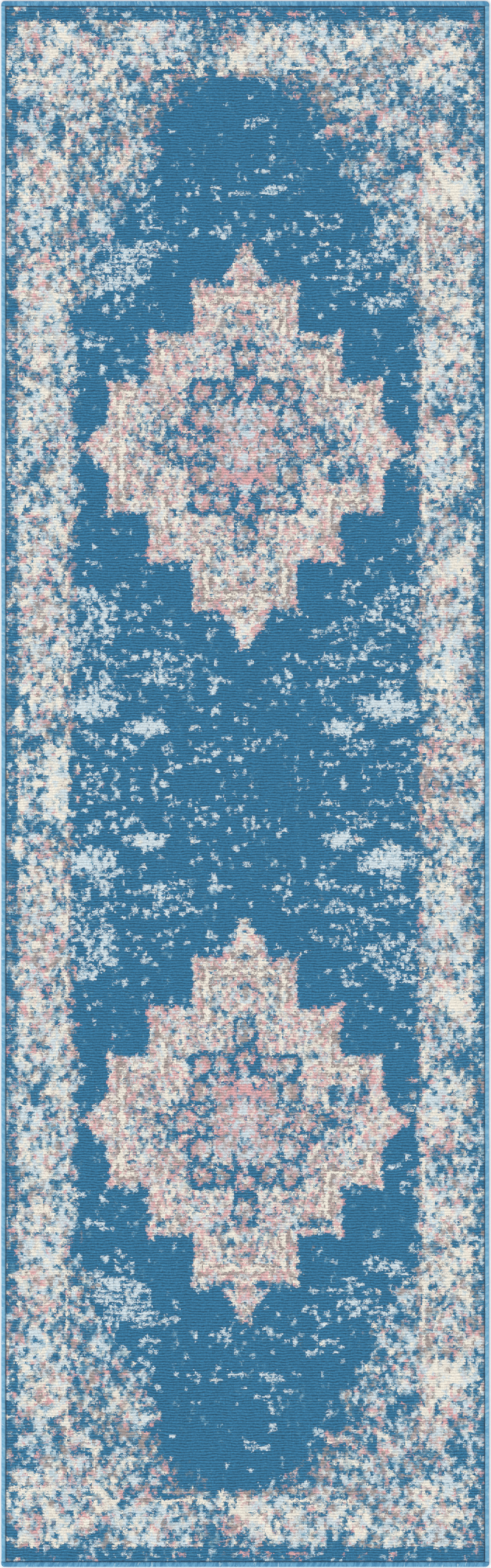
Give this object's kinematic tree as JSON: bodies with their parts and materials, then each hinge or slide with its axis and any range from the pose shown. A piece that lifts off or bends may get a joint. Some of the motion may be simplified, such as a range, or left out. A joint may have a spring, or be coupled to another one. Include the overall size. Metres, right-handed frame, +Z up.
{
  "type": "runner rug",
  "caption": "Long narrow low-pile runner rug with stepped diamond medallions, a patterned border and serged edges, which folds inward at both ends.",
  "frame": {"origin": "middle of the rug's underside, on the floor", "axes": "+X across the width, +Y along the length, +Z up out of the pile"},
  "size_m": [0.688, 2.21, 0.007],
  "materials": {
    "pile": "low ribbed pile in five yarn colours, dull with a faint sheen",
    "ground": "plain woven ground cloth",
    "backing": "matt latex coat over the weave",
    "serging": "wrapped light blue yarn with a soft sheen",
    "cord": "undyed filler cord",
    "thread": "dark blue twisted thread"
  },
  "bodies": {
    "middle": {"pile_middle": "pile", "ground_middle": "ground", "backing_middle": "backing", "serging_left_middle": "serging", "cord_left_middle": "cord", "thread_left_middle": "thread", "serging_right_middle": "serging", "cord_right_middle": "cord", "thread_right_middle": "thread"},
    "near_end": {"pile_near": "pile", "ground_near": "ground", "backing_near": "backing", "serging_left_near": "serging", "cord_left_near": "cord", "thread_left_near": "thread", "serging_right_near": "serging", "cord_right_near": "cord", "thread_right_near": "thread", "serging_end_near": "serging", "cord_end_near": "cord", "thread_end_near": "thread"},
    "far_end": {"pile_far": "pile", "ground_far": "ground", "backing_far": "backing", "serging_left_far": "serging", "cord_left_far": "cord", "thread_left_far": "thread", "serging_right_far": "serging", "cord_right_far": "cord", "thread_right_far": "thread", "serging_end_far": "serging", "cord_end_far": "cord", "thread_end_far": "thread"}
  },
  "joints": [
    {"name": "far_fold", "type": "hinge", "parent": "middle", "child": "far_end", "pos_m": [0, 0.554, 0.0085], "axis": [1, 0, 0], "range_deg": [0, 179.8]},
    {"name": "near_fold", "type": "hinge", "parent": "middle", "child": "near_end", "pos_m": [0, -0.554, 0.0085], "axis": [-1, 0, 0], "range_deg": [0, 179.8]}
  ]
}
